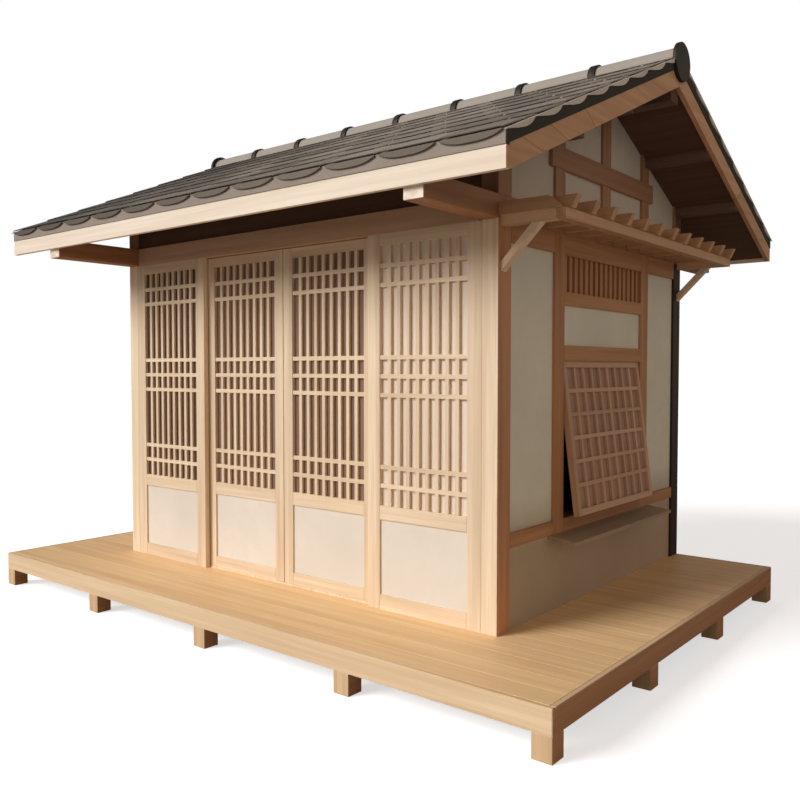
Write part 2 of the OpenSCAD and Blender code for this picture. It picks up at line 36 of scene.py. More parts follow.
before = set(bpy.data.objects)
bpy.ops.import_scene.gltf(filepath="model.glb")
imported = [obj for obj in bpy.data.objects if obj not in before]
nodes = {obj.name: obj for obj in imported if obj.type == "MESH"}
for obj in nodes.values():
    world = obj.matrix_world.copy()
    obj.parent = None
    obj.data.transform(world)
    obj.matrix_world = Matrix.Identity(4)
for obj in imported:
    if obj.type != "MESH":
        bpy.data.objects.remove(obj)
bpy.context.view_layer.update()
rng = random.Random(7)

# Camera
EYE = Vector((3.838, -4.771, 1.583))
YAW = math.radians(39.0)
DOWN = math.radians(2.1)
LENS = 37.4
SENSOR = 36

# Deck
DECK_BOARD_W = 0.14
DECK_GAP = 0.001

# Lattice leaves
LATTICE_COLS = 9
BAR_W = 0.025
BAR_T = 0.018
BAR_INSET = 0.004
BAR_PAIR = 0.105
END_GAP = 0.099
PROUD = 0.001

# Window sash
SASH_ANGLE = math.radians(7.3)
SASH_RIM = 0.038
SASH_BAR = 0.024
SASH_T = 0.035
SASH_COLS = 9
SASH_ROWS = 6

# Timbers of the side walls and their window
WINDOW_POST_W = 0.115
RAIL_H = 0.076
HEADER_H = 0.087
SHELF_PAST = 0.04
OVER_H = 0.226
LOUVER_BACK = 0.012
LOUVER_BACK_T = 0.008
TIE_PROUD = 0.008

# Roof
PITCH = math.radians(23.75)
ROOF_BOARD_T = 0.025
UNDERLAY_T = 0.04
STRIP_T = 0.004
COURSES = 8
TABS = 12
TAB_GAP = 0.020
TAB_T = 0.006
TAB_RISE = 0.007
TAB_LENGTH = 0.30
TAB_START = 0.06
TAB_PAST = 0.012
TAB_CORNER = 0.07
TAB_BACK = 0.001
TAB_STAGGER = (-0.004, 0.003)
CORNER_NEAR = 0.13
CORNER_FAR = 0.5
EAVE_CORNER = 0.008
LIP_T = 0.008
LIP_BACK = 0.003
LIP_GAP = 0.002
LIP_SIDE = 0.004
LIP_DROP = 0.028
LIP_STEPS = 14

# Tab ends drooping over the verge: shares of the course from its upper end, and of the drop
DROOP = 0.028
DROOP_SHAPE = ((0.02, 0.2), (0.07, 0.55), (0.14, 0.82), (0.24, 0.97),
               (0.34, 1.0), (0.55, 0.78), (0.78, 0.42), (1.0, 0.1))

# Joints of the barge boards: distances of their upper and lower ends from the eave
BARGE_CUTS = ((0.672, 0.779), (0.339, 0.504), (0.101, 0.283))
BARGE_JOINT = 0.002
RIDGE_JOINT = 0.0005

# Rounding of edges, from planed timber in general to heavy timber. TAB_EDGE is for the shingle
# tabs and collars and for the shelf and fascia boards
EDGE = 0.0015
BOARD_EDGE = 0.0008
THIN_EDGE = 0.001
TAB_EDGE = 0.002
THICK_EDGE = 0.003

# How near to a box's side the middle of a face on that side is
NEAR = 0.001

# Heights between which the painted shade at the foot of a plastered wall fades, and the stretch
# along X over which the shingles darken with painted shade towards the far end of the roof
FOOT_SHADE_FADE = (0.62, 0.9)
ROOF_SHADE_FADE = (-1.7, 0.4)

# Light
FILL = (1.0, 0.84, 0.72)
FILL_LOW = 0.60
FILL_HIGH = 0.03
KEY = 2.65
KEY_SOFT = math.radians(30)
KEY_LEFT = math.radians(30)
KEY_UP = math.radians(28)
FLOOR_GLOW = 0.62
FLOOR_HALF = 60


# Solids collected into one mesh

class Stock:
    """Bevelled prisms in one mesh. Each keeps its own coordinates along and across the
    grain in the attribute fibre, and a random number in the attribute tone."""

    def __init__(self):
        self.verts = []
        self.faces = []
        self.fibre = []
        self.tone = []

    def prism(self, outline, depth, place=Matrix.Identity(4), grain=0, edge=EDGE):
        bm = bmesh.new()
        low = [bm.verts.new((u, v, 0)) for u, v in outline]
        high = [bm.verts.new((u, v, depth)) for u, v in outline]
        bm.faces.new(low[::-1])
        bm.faces.new(high)
        for i in range(len(outline)):
            j = (i + 1) % len(outline)
            bm.faces.new((low[i], low[j], high[j], high[i]))
        bmesh.ops.recalc_face_normals(bm, faces=bm.faces)
        if edge:
            bmesh.ops.bevel(bm, geom=bm.edges[:], offset=edge, segments=2, affect="EDGES",
                            clamp_overlap=True)
        start = len(self.verts)
        shift = Vector((rng.uniform(0, 50), rng.uniform(0, 50), rng.uniform(0, 50)))
        order = (grain, (grain + 1) % 3, (grain + 2) % 3)
        tone = rng.random()
        for v in bm.verts:
            self.verts.append(place @ v.co)
            self.fibre.append(Vector([v.co[k] for k in order]) + shift)
            self.tone.append(tone)
        bm.verts.index_update()
        for f in bm.faces:
            self.faces.append([start + v.index for v in f.verts])
        bm.free()

    def box(self, lo, hi, grain, edge=EDGE):
        """Board between two corners, with its grain along axis 0, 1 or 2."""
        lo, hi = Vector(lo), Vector(hi)
        w, d, h = hi - lo
        self.prism([(0, 0), (w, 0), (w, d), (0, d)], h, Matrix.Translation(lo), grain, edge)

    def done(self, name, material, body, slot, *replaced):
        mesh = bpy.data.meshes.new(name)
        mesh.from_pydata([tuple(v) for v in self.verts], [], self.faces)
        fibre = mesh.attributes.new("fibre", "FLOAT_VECTOR", "POINT")
        fibre.data.foreach_set("vector", [c for v in self.fibre for c in v])
        tone = mesh.attributes.new("tone", "FLOAT", "POINT")
        tone.data.foreach_set("value", self.tone)
        mesh.materials.append(material)
        obj = bpy.data.objects.new(name, mesh)
        bpy.context.scene.collection.objects.link(obj)
        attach(obj, body)
        if replaced:
            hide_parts(*replaced)
        return obj


# Materials

class Shader:
    """Small helper that adds linked nodes to a new material."""

    def __init__(self, name):
        self.material = bpy.data.materials.new(name)
        self.material.use_nodes = True
        self.tree = self.material.node_tree
        self.bsdf = self.tree.nodes["Principled BSDF"]

    def add(self, kind, inputs=None, **settings):
        node = self.tree.nodes.new(kind)
        for key, value in settings.items():
            setattr(node, key, value)
        for key, value in (inputs or {}).items():
            self.put(node.inputs[key], value)
        return node

    def put(self, socket, value):
        if isinstance(value, bpy.types.NodeSocket):
            self.tree.links.new(value, socket)
        else:
            socket.default_value = value

    def noise(self, vector, scale, detail=4.0, rough=0.55):
        node = self.add("ShaderNodeTexNoise", {"Vector": vector, "Scale": scale, "Detail": detail,
                                               "Roughness": rough})
        return node.outputs["Fac"]

    def stretch(self, vector, scale):
        return self.add("ShaderNodeMapping", {"Vector": vector, "Scale": scale}).outputs["Vector"]

    def ramp(self, fac, low, high, start=0.0, end=1.0):
        node = self.add("ShaderNodeMapRange", {"Value": fac, "From Min": start, "From Max": end,
                                               "To Min": low, "To Max": high})
        return node.outputs["Result"]

    def mix(self, fac, a, b, blend="MIX"):
        node = self.add("ShaderNodeMix", data_type="RGBA", blend_type=blend)
        self.put(node.inputs[0], fac)
        self.put(node.inputs[6], a)
        self.put(node.inputs[7], b)
        return node.outputs[2]

    def math(self, op, a, b):
        node = self.add("ShaderNodeMath", operation=op)
        self.put(node.inputs[0], a)
        self.put(node.inputs[1], b)
        return node.outputs[0]

    def grey(self, level):
        node = self.add("ShaderNodeCombineColor", {"Red": level, "Green": level, "Blue": level})
        return node.outputs["Color"]

    def bump(self, height, strength, distance):
        node = self.add("ShaderNodeBump", {"Height": height, "Strength": strength, "Distance": distance})
        self.put(self.bsdf.inputs["Normal"], node.outputs["Normal"])


def shade(colour, k):
    return (colour[0] * k, colour[1] * k, colour[2] * k, 1)


def grain_vector(s, axis):
    """Coordinates with the grain along the first one: the pieces' own, or an axis of the frame."""
    if axis == "fibre":
        return s.add("ShaderNodeAttribute", attribute_name="fibre").outputs["Vector"]
    where = s.add("ShaderNodeTexCoord").outputs["Object"]
    xyz = s.add("ShaderNodeSeparateXYZ", {"Vector": where}).outputs
    a, b, c = {"x": "XYZ", "y": "YZX", "z": "ZXY"}[axis]
    turned = s.add("ShaderNodeCombineXYZ", {"X": xyz[a], "Y": xyz[b], "Z": xyz[c]})
    return turned.outputs["Vector"]


def wood(name, colour, axis="fibre", contrast=0.22, roughness=0.58, spread=0.14):
    """Planed timber: fine fibres, slow growth bands and a tone of its own for each board."""
    s = Shader(name)
    vector = grain_vector(s, axis)
    fibres = s.noise(s.stretch(vector, (2.5, 160, 160)), 1.0, 5, 0.6)
    bands = s.noise(s.stretch(vector, (0.7, 22, 22)), 1.0, 3, 0.5)
    cloud = s.noise(s.stretch(vector, (1.2, 4, 4)), 1.0, 2, 0.5)
    dark = shade((colour[0], colour[1] * 0.93, colour[2] * 0.86), 1 - contrast)
    base = s.mix(s.ramp(bands, 0, 1, 0.36, 0.66), shade(colour, 1.04), dark)
    base = s.mix(s.ramp(fibres, 0, 0.55, 0.45, 0.75), base, shade(dark[:3], 0.9))
    aged = shade((colour[0], colour[1] * 0.97, colour[2] * 0.92), 0.94)
    base = s.mix(s.ramp(cloud, 0, 0.5, 0.35, 0.7), base, aged)
    if axis == "fibre":
        tone = s.add("ShaderNodeAttribute", attribute_name="tone").outputs["Fac"]
        level = s.ramp(tone, 1 - spread / 2, 1 + spread / 2)
        base = s.mix(1.0, base, s.grey(level), "MULTIPLY")
    s.put(s.bsdf.inputs["Base Color"], base)
    s.put(s.bsdf.inputs["Roughness"], s.ramp(fibres, roughness - 0.06, roughness + 0.1))
    s.bsdf.inputs["Specular IOR Level"].default_value = 0.35
    s.bump(fibres, 0.25, 0.0008)
    return s.material


def board(name, colour, roughness=0.7, grit=0.03, variation=0.08, relief=0.0006, foot=None):
    """Matte painted board, plaster or paper with slow colour changes and a fine tooth. A
    wall's foot has painted shade: it is darker, by the colour foot, up to the height of the sill."""
    s = Shader(name)
    where = s.add("ShaderNodeTexCoord").outputs["Object"]
    cloud = s.noise(where, 1.6, 3, 0.5)
    mottle = s.noise(where, 14, 4, 0.6)
    tooth = s.noise(where, 420, 3, 0.6)
    light, dark = shade(colour, 1 + variation / 2), shade(colour, 1 - variation)
    base = s.mix(s.ramp(cloud, 0, 1, 0.35, 0.68), light, dark)
    base = s.mix(s.ramp(mottle, 0, 0.5, 0.4, 0.75), base, shade(colour, 1 - variation * 0.8))
    base = s.mix(s.ramp(tooth, 0, grit * 8, 0.45, 0.8), base, shade(colour, 0.9))
    if foot:
        # Painted shade: darker towards the foot of the wall
        z = s.add("ShaderNodeSeparateXYZ", {"Vector": where}).outputs["Z"]
        base = s.mix(s.ramp(z, 1, 0, *FOOT_SHADE_FADE), base, foot, "MULTIPLY")
    s.put(s.bsdf.inputs["Base Color"], base)
    s.put(s.bsdf.inputs["Roughness"], s.ramp(mottle, roughness - 0.05, roughness + 0.08))
    s.bsdf.inputs["Specular IOR Level"].default_value = 0.25
    s.bump(tooth, 0.3, relief)
    return s.material


def grit(name, colour, fleck, spread=0.3, roughness=0.85, far=1.0, ends=None):
    """Mineral surface of a shingle: coarse flecks, and a tone of its own for each tab. Painted shade
    darkens it towards the far end of the roof, where it is as dark as the number far. The colour
    ends is a painted highlight on the edges of a tab that face along the roof; its butt has painted shadow."""
    s = Shader(name)
    where = s.add("ShaderNodeTexCoord").outputs["Object"]
    grains = s.noise(where, 520, 2, 0.7)
    stain = s.noise(where, 7, 4, 0.6)
    base = s.mix(s.ramp(grains, 0, 1, 0.38, 0.66), shade(colour, 1), shade(fleck, 1))
    base = s.mix(s.ramp(stain, 0, 0.45, 0.4, 0.75), base, shade(colour, 0.75))
    # Pale tab ends are a painted highlight, dark butts a painted shadow
    if ends:
        normal = s.add("ShaderNodeNewGeometry").outputs["True Normal"]
        xyz = s.add("ShaderNodeSeparateXYZ", {"Vector": normal}).outputs
        across = s.math("ABSOLUTE", xyz["X"], 0.0)
        along = s.math("ABSOLUTE", xyz["Y"], 0.0)
        base = s.mix(s.ramp(across, 0, 1, 0.5, 0.8), base, shade(ends, 1))
        base = s.mix(s.ramp(along, 0, 1, 0.6, 0.85), base, shade(colour, 0.3))
    tone = s.add("ShaderNodeAttribute", attribute_name="tone").outputs["Fac"]
    level = s.ramp(tone, 1 - spread / 2, 1 + spread / 2)
    # Painted shade: tabs darken towards the far end of the roof
    if far != 1:
        x = s.add("ShaderNodeSeparateXYZ", {"Vector": where}).outputs["X"]
        x = s.math("ADD", x, s.ramp(stain, -0.5, 0.5))
        level = s.math("MULTIPLY", level, s.ramp(x, far, 1.0, *ROOF_SHADE_FADE))
    s.put(s.bsdf.inputs["Base Color"], s.mix(1.0, base, s.grey(level), "MULTIPLY"))
    s.put(s.bsdf.inputs["Roughness"], s.ramp(stain, roughness - 0.08, roughness + 0.06))
    s.bsdf.inputs["Specular IOR Level"].default_value = 0.3
    s.bump(grains, 0.5, 0.0015)
    return s.material


PALE = (0.95, 0.83, 0.69)
FRONT = (0.88, 0.71, 0.51)
# The side-wall timber is the front timber darkened and reddened with painted shade
SHADED_SIDE = (0.58, 0.29, 0.135)
# The gable timber is the side timber darkened further with painted shade under the roof
GABLE_SHADE = (0.47, 0.255, 0.135)
BARGE = (0.72, 0.42, 0.23)

front_wood = wood("front_wood", FRONT, spread=0.07)
post_wood = wood("post_wood", (0.94, 0.765, 0.56), "z")
# Darker copy of the post timber: painted shade for the posts' side faces
post_side_shade_wood = wood("post_side_shade_wood", (0.66, 0.33, 0.17), "z")
deck_wood = wood("deck_wood", (1.0, 0.70, 0.38), contrast=0.13, roughness=0.5, spread=0.08)
rim_wood = wood("rim_wood", (0.86, 0.65, 0.42), contrast=0.16, spread=0.06)
shaded_wood = wood("shaded_wood", (0.62, 0.31, 0.15), "y", contrast=0.16)
leg_wood = wood("leg_wood", (0.78, 0.55, 0.33), "z", roughness=0.7)
joist_wood = wood("joist_wood", (0.44, 0.28, 0.17), "y", roughness=0.7)
fascia_wood = wood("fascia_wood", PALE, "x", contrast=0.12)
barge_wood = wood("barge_wood", BARGE, contrast=0.2)
barge_end_wood = wood("barge_end_wood", BARGE, "y", contrast=0.2)
side_shade_wood = wood("side_shade_wood", SHADED_SIDE)
side_shade_wood_z = wood("side_shade_wood_z", SHADED_SIDE, "z")
side_shade_wood_x = wood("side_shade_wood_x", SHADED_SIDE, "x")
gable_shade_wood_y = wood("gable_shade_wood_y", GABLE_SHADE, "y")
gable_shade_wood_z = wood("gable_shade_wood_z", GABLE_SHADE, "z")
head_wood = wood("head_wood", (0.74, 0.48, 0.31), "x")
# The back corner posts are painted near-black: painted shade
back_post_shade_wood = wood("back_post_shade_wood", (0.035, 0.016, 0.009), "z")
# Side beams: the sides are painted as shaded, the end faces as lit
beam_side_shade_wood_y = wood("beam_side_shade_wood_y", (0.46, 0.225, 0.11), "y")
beam_end_lit_wood = wood("beam_end_lit_wood", (1.0, 0.88, 0.73), "y")
sash_wood = wood("sash_wood", (0.74, 0.47, 0.30))
awning_wood = wood("awning_wood", (0.66, 0.40, 0.22), "x")
bracket_wood = wood("bracket_wood", (0.84, 0.56, 0.35), "x")
# The braces are the bracket timber lightened with painted light
brace_lit_wood = wood("brace_lit_wood", (1.0, 0.78, 0.56), "x")
awning_beam_wood = wood("awning_beam_wood", (0.68, 0.41, 0.23), "y")
shelf_wood = wood("shelf_wood", (0.45, 0.34, 0.23), "y")
# Purlins, wall plates, purlin ends, soffit and roof boards are painted dark as painted shade
purlin_shade_wood = wood("purlin_shade_wood", (0.20, 0.125, 0.085), "x", roughness=0.7)
dark_shade_wood_x = wood("dark_shade_wood_x", (0.15, 0.08, 0.048), "x", roughness=0.75)
dark_wood_z = wood("dark_wood_z", (0.13, 0.065, 0.05), "z", roughness=0.75)
brown_wood_z = wood("brown_wood_z", (0.27, 0.165, 0.125), "z", roughness=0.75)
cream_board = board("cream_board", (0.80, 0.73, 0.64))
pink_board = board("pink_board", (0.84, 0.71, 0.59))
# The plaster's foot carries painted shade
plaster = board("plaster", (0.88, 0.84, 0.68), 0.85, 0.04, 0.1, 0.001, foot=(0.60, 0.50, 0.43, 1))
# The gable plaster is the wall plaster darkened with painted shade
gable_plaster = board("gable_plaster", (0.70, 0.63, 0.51), 0.85, 0.04, 0.1, 0.001)
paper = board("paper", (0.50, 0.32, 0.25), 0.8, 0.02, 0.12)
felt = grit("felt", (0.40, 0.335, 0.28), (0.26, 0.22, 0.18), 0.05)
underlay = grit("underlay", (0.44, 0.38, 0.32), (0.30, 0.26, 0.21), 0.05)
# Shingles: painted shade towards the far end and on the butts, a painted highlight on the ends
shingle = grit("shingle", (0.31, 0.272, 0.237), (0.19, 0.167, 0.145), 0.62, far=0.42,
               ends=(0.58, 0.52, 0.45))
# The lip darkens with painted shade towards the far end of the roof
lip = grit("lip", (0.23, 0.19, 0.155), (0.15, 0.125, 0.10), 0.15, far=0.6)
# The droops are the shingle colour lightened far above it: painted light on a shaded side
droop_lit = grit("droop_lit", (0.92, 0.85, 0.74), (0.70, 0.64, 0.55), 0.15)
# The verge strip is the eave felt painted almost black: painted shade
verge = grit("verge", (0.065, 0.06, 0.045), (0.035, 0.033, 0.026), 0.1)
ridge_tile = grit("ridge_tile", (0.46, 0.41, 0.36), (0.33, 0.29, 0.25), 0.0)
ridge_black = board("ridge_black", (0.028, 0.022, 0.016), 0.5, 0.02, 0.2)


# Plain CAD nodes

def dress(material, *names, edge=EDGE):
    """Gives CAD nodes a material and rounds their edges a little."""
    for name in names:
        obj = nodes[name]
        obj.data.materials.clear()
        obj.data.materials.append(material)
        if edge:
            obj.modifiers.new("weld", "WELD").merge_threshold = 1e-5
            bevel = obj.modifiers.new("edges", "BEVEL")
            bevel.width = edge
            bevel.segments = 2
            bevel.limit_method = "ANGLE"
            bevel.angle_limit = math.radians(30)


def second(material, obj, chosen):
    """Gives another material to the faces of a piece or node that a test picks out."""
    mesh = obj.data
    mesh.materials.append(material)
    for face in mesh.polygons:
        if chosen(face.center, face.normal):
            face.material_index = len(mesh.materials) - 1


def dress_all():
    dress(joist_wood, "deck_joists")
    dress(leg_wood, "deck_legs", edge=THICK_EDGE)
    second(shaded_wood, nodes["deck_legs"], lambda c, n: abs(n.x) > 0.5)
    dress(post_wood, "corner_posts", edge=THICK_EDGE)
    dress(cream_board, "panel_infills", "left_door_infill", "right_door_infill", edge=0)
    dress(pink_board, "right_panel_backing", edge=0)
    dress(dark_wood_z, "left_panel_backing", edge=0)
    dress(brown_wood_z, "left_door_backing", "right_door_backing", edge=0)
    dress(post_wood, "door_sill")
    wall_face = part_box("corner_posts")[1].x
    # Painted shade: the back corner posts take a near-black timber
    second(back_post_shade_wood, nodes["corner_posts"], lambda c, n: c.y > 0)
    # Painted shade on the outer side faces of the front corner posts
    second(post_side_shade_wood, nodes["corner_posts"], lambda c, n: c.y < 0 and abs(c.x) > wall_face - NEAR)
    dress(head_wood, "front_head_beam")
    # Painted shade on the purlins and wall plates, darker still on the purlin ends
    dress(purlin_shade_wood, "wall_plates", "purlins")
    purlin_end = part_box("purlins")[1].x - NEAR
    second(dark_shade_wood_x, nodes["purlins"], lambda c, n: abs(c.x) > purlin_end)
    # Painted shade on the side beams' sides and painted light on their end faces
    dress(beam_side_shade_wood_y, "side_beams", edge=THICK_EDGE)
    beam_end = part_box("side_beams")[1].y - NEAR
    second(beam_end_lit_wood, nodes["side_beams"], lambda c, n: abs(c.y) > beam_end)
    # Painted shade on the boards under the roof
    dress(dark_shade_wood_x, "front_upper_board", "soffit_boards", "roof_boards", edge=0)
    dress(plaster, "right_wall_plaster", "left_wall_plaster", "back_wall_plaster", edge=0)
    # Painted shade on the gable plaster and gable frames
    dress(gable_plaster, "gable_plaster", edge=0)
    # Louver and back-wall frame take the side timber colour, with painted shade
    dress(side_shade_wood_z, "louver_slats", "back_wall_frame")
    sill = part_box("back_wall_frame")[0].z + RAIL_H + NEAR
    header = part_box("louver_slats")[1].z - NEAR
    second(side_shade_wood_x, nodes["back_wall_frame"], lambda c, n: not sill < c.z < header)
    dress(gable_shade_wood_z, "gable_frames")
    second(gable_shade_wood_y, nodes["gable_frames"], lambda c, n: abs(c.x) > wall_face + TIE_PROUD / 2)
    dress(paper, "window_paper", edge=0)
    dress(shelf_wood, "window_shelf", edge=TAB_EDGE)
    dress(joist_wood, "rafters", edge=0)
    dress(fascia_wood, "fascia_boards", edge=TAB_EDGE)
    fascia_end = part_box("fascia_boards")[1].x - NEAR
    second(barge_end_wood, nodes["fascia_boards"], lambda c, n: abs(c.x) > fascia_end)
    dress(ridge_tile, "ridge_cap", edge=0)
    dress(ridge_black, "ridge_collars", edge=TAB_EDGE)
    dress(awning_wood, "awning_rafters")
    dress(bracket_wood, "awning_brackets")
    arm_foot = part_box("awning_beam")[0].z
    # Painted light on the braces below the bracket arms
    second(brace_lit_wood, nodes["awning_brackets"], lambda c, n: c.z < arm_foot)
    dress(awning_beam_wood, "awning_beam")


# Deck

def deck():
    lo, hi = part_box("deck_boards")
    rows = round((hi.y - lo.y) / DECK_BOARD_W)
    step = (hi.y - lo.y) / rows
    stock = Stock()
    for i in range(rows):
        y = lo.y + i * step
        stock.box((lo.x, y + DECK_GAP / 2, lo.z), (hi.x, y + step - DECK_GAP / 2, hi.z), 0,
                  BOARD_EDGE)
    stock.done("deck_planks", deck_wood, "cabin", "deck_wood", "deck_boards")

    lo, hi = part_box("deck_rim")
    inner_lo, inner_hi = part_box("deck_boards")
    stock = Stock()
    stock.box(lo, (hi.x, inner_lo.y, hi.z), 0, THICK_EDGE)
    stock.box((lo.x, inner_hi.y, lo.z), hi, 0, THICK_EDGE)
    stock.box((lo.x, inner_lo.y, lo.z), (inner_lo.x, inner_hi.y, hi.z), 1, THICK_EDGE)
    stock.box((inner_hi.x, inner_lo.y, lo.z), (hi.x, inner_hi.y, hi.z), 1, THICK_EDGE)
    side = hi.x - THICK_EDGE - NEAR
    rim = stock.done("rim_boards", rim_wood, "cabin", "rim_wood", "deck_rim")
    second(shaded_wood, rim, lambda c, n: abs(n.x) > 0.5 and abs(c.x) > side)


# Front wall

def cross_bars(height):
    """Heights of the cross bars from the middle of a lattice: pairs at the ends, three between."""
    top = height / 2 - END_GAP - BAR_W / 2
    return [-top, BAR_PAIR - top, -BAR_PAIR, 0, BAR_PAIR, top - BAR_PAIR, top]


def leaf(node, body, infill):
    """Stiles, rails and lattice bars of one door or panel, from the boxes of its solids."""
    lo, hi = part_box(node)
    ilo, ihi = infill
    blo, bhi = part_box(node + "_backing")
    stock = Stock()
    stock.box(lo, (ilo.x, hi.y, hi.z), 2)
    stock.box((ihi.x, lo.y, lo.z), hi, 2)
    for z0, z1 in ((lo.z, ilo.z), (ihi.z, blo.z), (bhi.z, hi.z)):
        stock.box((ilo.x, lo.y, z0), (ihi.x, hi.y, z1), 0)
    y = lo.y + BAR_INSET
    pitch = (ihi.x - ilo.x) / LATTICE_COLS
    for i in range(1, LATTICE_COLS):
        x = ilo.x + i * pitch
        stock.box((x - BAR_W / 2, y + PROUD, blo.z), (x + BAR_W / 2, y + BAR_T, bhi.z), 2)
    mid = (blo.z + bhi.z) / 2
    for z in cross_bars(bhi.z - blo.z):
        z += mid
        stock.box((ilo.x, y, z - BAR_W / 2), (ihi.x, y + BAR_T - PROUD, z + BAR_W / 2), 0)
    stock.done(node + "_frame", front_wood, body, "front_wood", node)


def front_wall():
    lo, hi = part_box("panel_infills")
    for node in ("left_panel", "right_panel"):
        blo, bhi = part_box(node + "_backing")
        leaf(node, "cabin", (Vector((blo.x, lo.y, lo.z)), Vector((bhi.x, hi.y, hi.z))))
    for node in ("left_door", "right_door"):
        leaf(node, node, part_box(node + "_infill"))


# Side and back walls

def side_wall(node, windowed):
    """Posts and rails of a side wall. The window wall has two more rails and a louver back."""
    lo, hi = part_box(node)
    shelf_lo, shelf_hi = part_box("window_shelf")
    louver_lo, louver_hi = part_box("louver_slats")
    a0 = shelf_lo.y + SHELF_PAST
    b1 = shelf_hi.y - SHELF_PAST
    a1, b0 = a0 + WINDOW_POST_W, b1 - WINDOW_POST_W
    stock = Stock()
    stock.box((lo.x, a0, lo.z), (hi.x, a1, hi.z), 2)
    stock.box((lo.x, b0, lo.z), (hi.x, b1, hi.z), 2)
    full = ((lo.z, lo.z + RAIL_H), (louver_hi.z, hi.z))
    for y0, y1 in ((lo.y, a0), (a1, b0), (b1, hi.y)):
        for z0, z1 in full:
            stock.box((lo.x, y0, z0), (hi.x, y1, z1), 1)
    if windowed:
        header = louver_lo.z - RAIL_H - OVER_H - HEADER_H
        stock.box((lo.x, a1, louver_lo.z - RAIL_H), (hi.x, b0, louver_lo.z), 1)
        stock.box((lo.x, a1, header), (hi.x, b0, header + HEADER_H), 1)
        back = louver_lo.x - LOUVER_BACK
        stock.box((back - LOUVER_BACK_T, a1, louver_lo.z), (back, b0, louver_hi.z), 1)
    # The side-wall timbers carry painted shade in their colour
    stock.done(node + "_timbers", side_shade_wood, "cabin", "wall_wood", node)


def sash():
    """Propped sash, drawn flat with its hinge line at the origin and then swung out."""
    lo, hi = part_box("window_sash")
    w = hi.y - lo.y
    h = (hi.z - lo.z - SASH_T * math.sin(SASH_ANGLE)) / math.cos(SASH_ANGLE)
    x1 = hi.x - h * math.sin(SASH_ANGLE)
    place = Matrix.Translation((x1, lo.y, hi.z)) @ Matrix.Rotation(-SASH_ANGLE, 4, "Y")
    stock = Stock()

    def piece(y0, y1, z0, z1, x0, x2, grain):
        stock.prism([(x0, y0), (x2, y0), (x2, y1), (x0, y1)], z1 - z0,
                    place @ Matrix.Translation((0, 0, z0)), grain)

    piece(0, SASH_RIM, -h, 0, -SASH_T, 0, 2)
    piece(w - SASH_RIM, w, -h, 0, -SASH_T, 0, 2)
    piece(SASH_RIM, w - SASH_RIM, -SASH_RIM, 0, -SASH_T, 0, 1)
    piece(SASH_RIM, w - SASH_RIM, -h, SASH_RIM - h, -SASH_T, 0, 1)
    back = -BAR_INSET - BAR_T
    for i in range(1, SASH_COLS):
        y = SASH_RIM + i * (w - 2 * SASH_RIM) / SASH_COLS
        piece(y - SASH_BAR / 2, y + SASH_BAR / 2, SASH_RIM - h, -SASH_RIM, back, -BAR_INSET - PROUD, 2)
    for i in range(1, SASH_ROWS):
        z = -h + SASH_RIM + i * (h - 2 * SASH_RIM) / SASH_ROWS
        piece(SASH_RIM, w - SASH_RIM, z - SASH_BAR / 2, z + SASH_BAR / 2, back + PROUD, -BAR_INSET, 1)
    stock.done("sash_timbers", sash_wood, "cabin", "sash_wood", "window_sash")


# Roof

# Maps an outline drawn in Y and Z, and its depth, to the frame
PROFILE = Matrix(((0, 0, 1, 0), (1, 0, 0, 0), (0, 1, 0, 0), (0, 0, 0, 1)))


class Roof:
    """Underside of the roof boards, and the points and directions that follow from it."""

    def __init__(self):
        lo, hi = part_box("roof_boards")
        self.x = hi.x
        self.half_span = hi.y
        self.apex = hi.z - ROOF_BOARD_T
        self.deck_t = ROOF_BOARD_T + UNDERLAY_T
        self.edge_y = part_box("shingles")[1].y

    def z(self, y, over=0.0):
        return self.apex - abs(y) * math.tan(PITCH) + over

    def frame(self, side):
        """Matrix with X along the eave, Y down the slope and Z out of it, from the ridge."""
        down = Vector((0, side * math.cos(PITCH), -math.sin(PITCH)))
        out = Vector((0, side * math.sin(PITCH), math.cos(PITCH)))
        axes = Matrix((Vector((side, 0, 0)), down, out)).transposed().to_4x4()
        return Matrix.Translation((0, 0, self.apex)) @ axes

    def run(self, y, out):
        """Distance down the slope of a point at a depth y and a height out over the plane."""
        return (y - out * math.sin(PITCH)) / math.cos(PITCH)


def profile(stock, outline, x0, x1, grain=2, edge=EDGE):
    stock.prism(outline, x1 - x0, Matrix.Translation((x0, 0, 0)) @ PROFILE, grain, edge)


def tab_outline(x0, x1, top, bottom, corner):
    """Tab with two lower corners, each cut in three strokes so that it looks rounded."""
    near, far = CORNER_NEAR * corner, CORNER_FAR * corner
    return [(x0, top), (x0, bottom - corner), (x0 + near, bottom - far), (x0 + far, bottom - near),
            (x0 + corner, bottom), (x1 - corner, bottom), (x1 - far, bottom - near),
            (x1 - near, bottom - far), (x1, bottom - corner), (x1, top)]


def lip_outline(x0, x1, z1):
    """Front edge of an eave tab, hanging over the eave with rounded lower corners."""
    points = [(x0, z1), (x1, z1)]
    for i in range(LIP_STEPS + 1):
        t = 1 - i / LIP_STEPS
        points.append((x0 + t * (x1 - x0), z1 - LIP_SIDE - LIP_DROP * (1 - abs(2 * t - 1) ** 3)))
    return points


